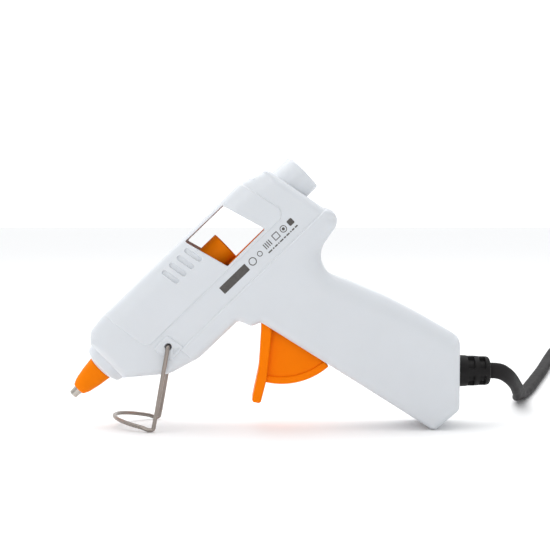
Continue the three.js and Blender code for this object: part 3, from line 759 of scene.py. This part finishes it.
def seam_level(points):
    """How far from y = 0 the rim of a half stops: near 0, but further out around each opening."""
    x, z = points[:, 0], points[:, 1]
    v = across_barrel(points)
    out = np.full(len(points), SEAM_Y)

    def around(where, offset, radius):
        out[where] = np.maximum(out[where], np.sqrt(np.maximum(radius ** 2 - offset[where] ** 2, 0)))

    u = (x - NOZZLE_TIP[0]) * math.cos(TILT) + (z - NOZZLE_TIP[1]) * math.sin(TILT)
    around(u < 21.5, v, 5.5)
    around((u > 112) & (v < 15) & (z > 80), v, 8.4)
    around(x > 75.0, z - CORD_Z, 5.3)
    for left, right, reach in (LEVER_WAY, SECTOR_WAY):
        under = (x > left) & (x < right) & (np.abs(z - on_underside(x)) < 1.6)
        out[under] = reach
    return out


def housing_skin(holes):
    """One half as a closed thin-walled solid, on the +Y side."""
    base = outline(BODY)
    cuts = cuts_for(base, 1.0)
    outer = subdivided(base, cuts)
    insets = [EDGE_R * (1 - math.sin(a)) for a in np.radians([90, 78, 64, 50, 36, 24, 12, 0])]
    rings = [subdivided(outline(BODY, inset), cuts) for inset in [*insets, EDGE_R + 0.3]]
    features = [*RAISED, *SUNK, *holes]
    stretches = crowned_stretches(outer)
    lines = [subdivided(outline(BODY, inset), cuts)[stretch]
             for inset in (3.9, 4.6, 5.4, 6.2, CROWN_REACH, CROWN_REACH + 0.4) for stretch in stretches]
    flat, triangles, source, height = cap(
        rings, features, holes, outer, lambda p: side_level(p, outer, holes), lines)
    points = [(x, y, z) for (x, z), y in zip(flat, height)]
    faces = list(triangles)

    count = len(outer)
    seam = seam_level(outer)
    chamfered = subdivided(outline(BODY, SEAM_CHAMFER), cuts)
    inner = subdivided(outline(BODY, WALL), cuts)
    rows = [[source[i] for i in range(count)]]
    for loop, y in ((outer, seam + SEAM_CHAMFER), (chamfered, seam), (inner, seam),
                    (inner, inner_level(inner, outer))):
        rows.append(list(range(len(points), len(points) + count)))
        points.extend((x, level, z) for (x, z), level in zip(loop, y))
    for row, following in zip(rows, rows[1:]):
        for i in range(count):
            j = (i + 1) % count
            faces.append((row[i], row[j], following[j], following[i]))

    rim_edges = hole_rims(triangles, set(rows[0]))
    rim = sorted({i for edge in rim_edges for i in edge})
    inner_rim = {i: len(points) + n for n, i in enumerate(rim)}
    rim_places = flat[rim]
    points.extend((x, y, z) for (x, z), y in zip(rim_places, inner_level(rim_places, outer)))
    faces.extend((a, b, inner_rim[b], inner_rim[a]) for a, b in rim_edges)

    grid = np.array([(x, z) for x in np.arange(-62, 76, 2.5) for z in np.arange(0, 104, 2.5)])
    roomy = inside(grid, inner) & (distance(grid, inner) > 0.8)
    places = [Vector(p) for p in inner] + [Vector(p) for p in rim_places] + [Vector(p) for p in grid[roomy]]
    order = {i: count + n for n, i in enumerate(rim)}
    edges = [(i, (i + 1) % count) for i in range(count)] + [(order[a], order[b]) for a, b in rim_edges]
    out = delaunay_2d_cdt(places, edges, [], 0, 1e-6, True)
    known = rows[-1] + [inner_rim[i] for i in rim]
    spots = np.array([tuple(p) for p in out[0]])
    levels = inner_level(spots, outer)
    target = {}
    for k, group in enumerate(out[3]):
        named = [i for i in group if i < len(known)]
        if named:
            target[k] = known[named[0]]
        else:
            target[k] = len(points)
            points.append((spots[k][0], levels[k], spots[k][1]))
    middles = np.array([np.mean([tuple(out[0][i]) for i in face], axis=0) for face in out[2]])
    wanted = inside(middles, inner)
    for hole in holes:
        wanted &= ~inside(middles, hole.loops[-1])
    faces.extend(tuple(target[i] for i in face) for face, keep in zip(out[2], wanted) if keep)
    return points, faces


def hole_rims(triangles, outer_points):
    """Edges of only one triangle that aren't on the outer ring."""
    used = {}
    for triangle in triangles:
        for a, b in zip(triangle, (*triangle[1:], triangle[0])):
            used.setdefault((min(a, b), max(a, b)), []).append((a, b))
    return [both[0] for key, both in used.items()
            if len(both) == 1 and not (key[0] in outer_points and key[1] in outer_points)]


def tube_along_y(centre, bore, radius, y0, y1):
    return lathe(softened([(y0, bore), (y0, radius), (y1, radius), (y1, bore)], 0.12), on_y_axis(centre), 40)


def half_rib(u0, u1, v0, v1, hole_r, reach=11.0):
    """A cross rib on the +Y side with a half-round notch for the barrel's parts."""
    angles = np.radians(np.linspace(90, -90, 19))
    notch = [(hole_r * math.cos(a), -hole_r * math.sin(a)) for a in angles]
    ring = [(0.2, v0), *[(max(0.2, y), v) for y, v in notch], (0.2, v1), (reach, v1), (reach, v0)]
    layers = [[(barrel_point(u, v)[0], y, barrel_point(u, v)[1]) for y, v in ring] for u in (u0, u1)]
    return loft(layers)


def collar_half():
    profile = [(15.5, 5.0), (15.5, 5.8), (16.8, 8.4), (20.2, 9.2), (22.4, 9.2), (22.4, 5.0)]
    return lathe(softened(profile, 0.5), on_barrel, 48, 0.004, math.pi - 0.008)


def housing_half(side):
    holes = [Hole(WINDOW), Hole(circle_corners(STAND_PIVOT, 1.35, 32))]
    if side > 0:
        holes += [Hole(circle_corners(place, SCREW_HEAD_R + 0.3)) for place in screw_places()]
    shells = [housing_skin(holes), collar_half()]
    for place in screw_places():
        shells.append(tube_along_y(place, 1.15, 2.6, 0.2, 8.0 if side > 0 else 11.6))
        if side > 0:
            shells.append(tube_along_y(place, SCREW_HEAD_R + 0.3, 3.6, 7.6, 11.2))
            shells.append(tube_along_y(place, 1.15, 3.2, 6.8, SCREW_SEAT_Y))
    shells.append(tube_along_y(STAND_PIVOT, 1.0, 2.9, 8.4, 11.6))
    shells.append(tube_along_y(PIVOT, PIN_R + 0.1, 3.2, 7.4, 11.6))
    shells.append(half_rib(26.0, 27.6, BARREL_TOP + 2.6, 13.5, 5.8))
    shells.append(half_rib(61.0, 62.6, BARREL_TOP + 2.6, 9.0, 5.8))
    shells.append(half_rib(108.6, 110.0, BARREL_TOP + 2.6, 9.2, 4.4))
    rail = in_barrel([(74.0, 8.8), (74.0, 10.2), (108.0, 10.2), (108.0, 8.8)])
    shells.append(rounded_plate(rail, 6.2, 11.6, 0.15, 2))
    both = joined(*shells)
    if side < 0:
        return piece("left_shell", mirrored(both), "white_plastic", nodes=("left_housing",), sharp=38)
    return piece("right_shell", both, "white_plastic", nodes=("right_housing",), sharp=38)


# ---------- marks printed on the band ----------
def flat_mark(corners, thickness=0.03):
    return rounded_plate(corners, -BAND_HALF_WIDTH - thickness, -BAND_HALF_WIDTH + 0.02, 0.008, 1)


def bar_mark(u0, u1, v0, v1, radius=0.25):
    return flat_mark(in_barrel([(u0, v0, radius), (u0, v1, radius), (u1, v1, radius), (u1, v0, radius)]))


def ring_mark(u, v, radius, width):
    centre = barrel_point(u, v)
    y0, y1 = -BAND_HALF_WIDTH - 0.03, -BAND_HALF_WIDTH + 0.02
    profile = [(y0, radius - width), (y0, radius), (y1, radius), (y1, radius - width)]
    return lathe(profile, on_y_axis(centre), 40)


def frame_mark(u, v, half_u, half_v, width):
    """Four strips around an empty middle."""
    return joined(
        bar_mark(u - half_u, u + half_u, v - half_v, v - half_v + width, 0.05),
        bar_mark(u - half_u, u + half_u, v + half_v - width, v + half_v, 0.05),
        bar_mark(u - half_u, u - half_u + width, v - half_v + width, v + half_v - width, 0.02),
        bar_mark(u + half_u - width, u + half_u, v - half_v + width, v + half_v - width, 0.02))


def make_marks():
    shells = [bar_mark(71.3, 84.7, 9.5, 12.7)]
    shells += [ring_mark(87.6, 11.1, 1.6, 0.35), ring_mark(91.6, 10.9, 1.1, 0.3)]
    shells += [bar_mark(94.6 + 0.9 * k, 95.0 + 0.9 * k, 9.2, 11.6, 0.1) for k in range(4)]
    shells += [frame_mark(100.7, 10.3, 1.35, 1.35, 0.32), ring_mark(104.6, 10.3, 1.4, 0.3),
               ring_mark(104.6, 10.3, 0.6, 0.55), bar_mark(107.2, 109.6, 9.1, 11.5, 0.5)]
    start = 94.2
    for length in (1.9, 0.7, 1.3, 0.5, 1.7, 0.9, 1.5, 0.6, 1.1, 1.3):
        shells.append(bar_mark(start, start + length, 12.75, 13.3, 0.1))
        start += length + 0.42
    piece("band_marks", joined(*shells), None, look=INK_AND_PAINTED_SHADE)


# ---------- hot end ----------
def make_hot_end():
    nozzle = [(0, 0.9), (0, 1.7), (3.2, 1.95), (3.9, 2.4), (8.4, 2.4), (8.6, 2.9), (22, 2.9), (22, 0.9)]
    piece("nozzle_turned", lathe(softened(nozzle, 0.25), on_barrel), "nozzle_metal", nodes=("nozzle",))
    cover = [(3.3, 2.3), (3.3, 2.65), (5.5, 3.7), (10, 4.63), (15.2, 5.3), (15.2, 5.15),
             (17.4, 5.15), (17.4, 3.3), (8.2, 3.3), (8.0, 2.75), (4.2, 2.75)]
    piece("nozzle_cover_moulded", lathe(softened(cover, 0.9), on_barrel), "orange_silicone",
          nodes=("nozzle_cover",))
    sleeve = [(63.5, 5.8), (63.5, 6.3), (84, 6.3), (84, 5.6), (82, 4.3), (72, 4.1), (70.3, 4.1), (70.3, 5.8)]
    piece("inlet_sleeve_moulded", lathe(softened(sleeve, 0.3), on_barrel), "orange_silicone",
          nodes=("inlet_sleeve",))


def make_tail():
    profile = [
        (110.4, STICK_BORE_R), (110.4, 9.0), (112.0, 9.0), (112.0, 8.25), (125.5, 7.95),
        (125.9, 7.6), (125.9, 5.5), (124.6, 4.6),
        (121, STICK_BORE_R),
    ]
    piece("rear_guide", lathe(softened(profile, 0.4), on_barrel, 96), "white_plastic",
          nodes=("rear_guide_tube",))


# ---------- trigger ----------
def arc(centre, radius, from_degrees, to_degrees, steps):
    angles = np.radians(np.linspace(from_degrees, to_degrees, steps + 1))
    return [(centre[0] + radius * math.cos(a), centre[1] + radius * math.sin(a)) for a in angles]


def make_trigger():
    lever = rounded_plate([
        (3.7, 39.9, 4.5), (0.4, 42.0, 0.6), (-0.7, 41.4, 0.6), (-0.7, 38.5, 6), (-1.6, 24.0, 30),
        (-4.5, 10.3, 1.1), (-1.0, 9.6, 1.1), (1.3, 18.5, 20)], -7, 7, 0.7)
    neck = rounded_plate([
        (8.5, 49.0, 3), (1.5, 46.5, 2), (-0.2, 41.2, 1), (0.8, 30, 1), (11.0, 36, 1), (12.0, 41.0, 2)],
        -3.9, 3.9, 0.3)
    guard = rounded_plate([PIVOT, (2.5, 41.0), *arc(PIVOT, SECTOR_R - 0.2, -108, -48.9, 40)], -4, 4, 0.3)
    low, high = SECTOR_R - 3, SECTOR_R
    section = outline([(low, 4.8, 0.75), (high, 4.8, 0.75), (high, -4.8, 0.75), (low, -4.8, 0.75)])
    turns = [(math.cos(a), math.sin(a)) for a in np.radians(np.linspace(-107.8, -49.1, 41))]
    rim = loft([[(PIVOT[0] + r * c, y, PIVOT[1] + r * s) for r, y in section] for c, s in turns])
    ejector_mark = lathe(softened([(-4.06, 0), (-4.06, 0.85), (-3.9, 0.85), (-3.9, 0)], 0.05),
                         on_y_axis((18.2, 25.6)), 32)
    drive = barrel_point(*DRIVE)
    along = np.array([drive[0] - PIVOT[0], drive[1] - PIVOT[1]])
    along *= 2.2 / np.linalg.norm(along)
    arm = rounded_plate([
        (PIVOT[0] + along[1], PIVOT[1] - along[0]), (drive[0] + along[1], drive[1] - along[0]),
        (drive[0] - along[1], drive[1] + along[0]), (PIVOT[0] - along[1], PIVOT[1] + along[0])],
        -2.6, 2.6, 0.3)
    hub = tube_along_y(PIVOT, PIN_R + 0.05, 4.5, -7, 7)
    knuckle = lathe([(-2.6, 0), (-2.6, 2.2), (2.6, 2.2), (2.6, 0)], on_y_axis(drive), 32)
    pin_profile = [(-5.3, 0), (-5.3, DRIVE_R), (5.3, DRIVE_R), (5.3, 0)]
    drive_pin = lathe(softened(pin_profile, 0.2), on_y_axis(drive), 32)
    moulded = joined(lever, neck, guard, rim, ejector_mark, arm, hub, knuckle, drive_pin)
    piece("trigger_moulded", moulded, "orange_plastic", body="trigger", nodes=("trigger",))
    pin = [(-10.8, 0), (-10.8, PIN_R), (10.8, PIN_R), (10.8, 0)]
    pivot_pin = lathe(softened(pin, 0.25), on_y_axis(PIVOT), 36)
    piece("pivot_pin", pivot_pin, "wire_steel", nodes=("trigger_pin",))


# ---------- wire stand ----------
def make_stand():
    heel = (-42.1, WIRE_R)
    tip = (-58.4, 4.3)
    px, pz = STAND_PIVOT
    side = [
        (px, -8.6, pz), (px, -13.4, pz), (px - 0.1, -14.45, pz - 0.4), (px - 0.35, -LEG_Y, pz - 1.8),
        ((px + heel[0]) / 2, -LEG_Y, (pz + heel[1]) / 2), (heel[0] + 0.35, -LEG_Y, heel[1] + 1.9),
        (heel[0] - 0.1, -LEG_Y, heel[1] + 0.35), (heel[0] - 1.6, -LEG_Y, heel[1] + 0.05),
    ]
    for degrees in (15, 30, 45, 60, 75):
        share = math.sin(math.radians(degrees))
        side.append((heel[0] + (tip[0] - heel[0]) * share, -LEG_Y * math.cos(math.radians(degrees)),
                     heel[1] + (tip[1] - heel[1]) * share))
    knots = [*side, (tip[0], 0, tip[1]), *[(x, -y, z) for x, y, z in reversed(side)]]
    path = smooth_path(knots, 0.5)
    across = carried_along(path, (0, 0, 1))
    piece("stand_wire", sweep(path, across, round_section(WIRE_R - ROUND_WIRE_INSET)), "wire_steel", body="stand",
          nodes=("wire_stand",))


# ---------- strain relief ----------
def make_strain_relief():
    """A moulded sleeve with two rings of four sunk windows."""
    profile = [
        (67.4, 0), (67.4, 4.2), (71.6, 4.6), (71.6, 6.8), (73.8, 6.8), (73.8, 5.0),
        (76.05, 5.0), (76.05, 6.2),
        (76.35, 6.25), (79.9, 6.12),
    ]
    for start, end in ((80.4, 83.3), (84.9, 87.6)):
        radius = 6.25 - 0.6 * (start - 76.3) / 11.6
        profile += [(start, radius), (start + 0.15, radius - 0.05), (start + 0.25, radius - 0.1),
                    ((start + end) / 2, radius - 0.1), (end - 0.25, radius - 0.1), (end - 0.15, radius - 0.1),
                    (end, radius - 0.12)]
    profile += [(88.2, 5.66), (88.9, 5.4), (89.3, 4.9), (89.4, 4.2), (89.4, 0)]
    segments = 144
    points, faces = lathe(profile, on_relief, segments)
    out = []
    for x, y, z in points:
        up = z - CORD_Z
        radius = math.hypot(y, up)
        turn = math.degrees(math.atan2(up, y)) % 90
        sunk = any(start + 0.2 < x < end - 0.2 for start, end in ((80.4, 83.3), (84.9, 87.6)))
        if sunk and 15 < turn < 75 and radius > 1:
            share = (radius - 1.35) / radius
            y, z = y * share, CORD_Z + up * share
        out.append((x, y, z))
    piece("strain_relief_moulded", (out, faces), "black_rubber", nodes=("strain_relief",), sharp=30)


# ---------- screws and spring ----------
def make_screws():
    for number, place in enumerate(screw_places(), 1):
        seat = SCREW_SEAT_Y + 0.05
        dome = [(seat + 1.85, 0), (seat + 1.8, 0.9), (seat + 1.6, 1.6), (seat + 1.2, 2.1),
                (seat + 0.7, SCREW_HEAD_R), (seat, SCREW_HEAD_R), (seat, 1.05),
                (-7.0, 1.05), (-7.5, 0.6), (-7.5, 0)]
        head = lathe(softened(dome, 0.12), on_y_axis(place), 48)
        piece(f"housing_screw_head_{number}", head, "screw_steel", nodes=(f"housing_screw_{number}",))
        x, z = place
        # Painted shade: a dark cross in the ink material stands out of each dome head where the cross recess
        # would lie in shade; no recess is cut.
        painted_recess_shade = [rounded_plate([(x - a, z - b, 0.1), (x + a, z - b, 0.1),
                               (x + a, z + b, 0.1), (x - a, z + b, 0.1)],
                              seat + 0.9, seat + 1.875, 0.02, 1) for a, b in ((1.35, 0.3), (0.3, 1.35))]
        piece(f"screw_recess_painted_shade_{number}", joined(*painted_recess_shade), None, look=INK_AND_PAINTED_SHADE)


def make_spring():
    start, end, v, turns = 93.7, 110.6, 13.0, 9
    knots = [(start, 0, -v), (start + 0.8, 0, -v)]
    for i in range(turns * 12 + 1):
        angle = 2 * math.pi * i / 12
        knots.append((start + 1.6 + (end - start - 3.2) * i / (turns * 12), 1.6 * math.sin(angle),
                      -v + 1.6 * math.cos(angle)))
    knots += [(end - 0.8, 0, -v), (end, 0, -v)]
    path = np.array([on_barrel(*p) for p in smooth_path(knots, 0.4)])
    across = carried_along(path, (0, 1, 0))
    spring = piece("feed_spring", sweep(path, across, round_section(0.3, 10)), "wire_steel", body=None,
                   nodes=("return_spring",))
    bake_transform(spring)


# ---------- the CAD's own pieces ----------
CARRIED_OVER = {
    "melt_chamber": "cast_aluminium", "heater_insulation": "insulating_film", "ptc_element": "heater_ceramic",
    "electrode_upper": "contact_brass", "electrode_lower": "contact_brass", "sleeve_clamp": "wire_steel",
    "feed_carriage": "orange_plastic", "inner_cord_end": "black_cord", "cord_clamp": "white_plastic",
    "clamp_screw_1": "screw_steel", "clamp_screw_2": "screw_steel", "live_lead": "lead_brown",
    "neutral_lead": "lead_blue", "live_sleeve": "fibreglass", "neutral_sleeve": "fibreglass",
}


def dress_carried_over():
    """Gives the CAD's pieces their materials, with a small bevel on their sharp edges."""
    for name, slot_name in CARRIED_OVER.items():
        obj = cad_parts[name]
        obj.data.materials.clear()
        obj.data.materials.append(LOOKS[slot_name])
        bevel = obj.modifiers.new("edge", "BEVEL")
        bevel.width = 0.15 * MM
        bevel.segments = 2
        bevel.limit_method = "ANGLE"
        bevel.angle_limit = math.radians(40)


# ---------- studio ----------
def area_light(name, place, aim, size, power, colour=(1, 1, 1)):
    light = bpy.data.lights.new(name, "AREA")
    light.shape = "RECTANGLE"
    light.size, light.size_y = size
    light.energy = power
    light.color = colour
    obj = bpy.data.objects.new(name, light)
    bpy.context.scene.collection.objects.link(obj)
    obj.location = place
    obj.rotation_euler = (Vector(aim) - Vector(place)).to_track_quat("-Z", "Y").to_euler()


def make_studio():
    mesh = bpy.data.meshes.new("floor")
    mesh.from_pydata([(-6, -6, 0), (6, -6, 0), (6, 6, 0), (-6, 6, 0)], [], [(0, 1, 2, 3)])
    floor = bpy.data.objects.new("floor", mesh)
    bpy.context.scene.collection.objects.link(floor)
    floor.location.z = -0.00005
    paper = finish_of("studio_floor", (0.97, 0.97, 0.97), 0.75, vary=0.004, grain=300, bump=0.01)
    mesh.materials.append(paper)
    bpy.context.scene.world = sky()
    bpy.context.scene.view_settings.view_transform = "Standard"
    area_light("top", (-0.15, 0.2, 0.9), (0, 0, 0.04), (1.1, 1.1), 5.2)
    area_light("front", (-0.3, -0.95, 0.42), (0, 0, 0.05), (0.45, 0.45), 1.7)


def sky():
    """Bright behind and above the object, dimmer on the camera's side."""
    world = bpy.data.worlds.new("studio")
    world.use_nodes = True
    tree = world.node_tree
    background = next(n for n in tree.nodes if n.type == "BACKGROUND")
    place = tree.nodes.new("ShaderNodeTexCoord")
    facing = tree.nodes.new("ShaderNodeVectorMath")
    facing.operation = "DOT_PRODUCT"
    facing.inputs[1].default_value = (-0.1, 0.75, 0.65)
    tree.links.new(place.outputs["Generated"], facing.inputs[0])
    strength = tree.nodes.new("ShaderNodeMapRange")
    for socket, value in (("From Min", -0.6), ("From Max", 0.6), ("To Min", 0.3), ("To Max", 1.22)):
        strength.inputs[socket].default_value = value
    tree.links.new(facing.outputs["Value"], strength.inputs["Value"])
    tree.links.new(strength.outputs["Result"], background.inputs["Strength"])
    background.inputs["Color"].default_value = (0.98, 0.99, 1.0, 1)
    return world


# ---------- the object ----------
make_camera()
make_cord_and_plug()
housing_half(-1)
housing_half(1)
make_marks()
make_hot_end()
make_tail()
make_trigger()
make_stand()
make_strain_relief()
make_screws()
make_spring()
dress_carried_over()
make_studio()
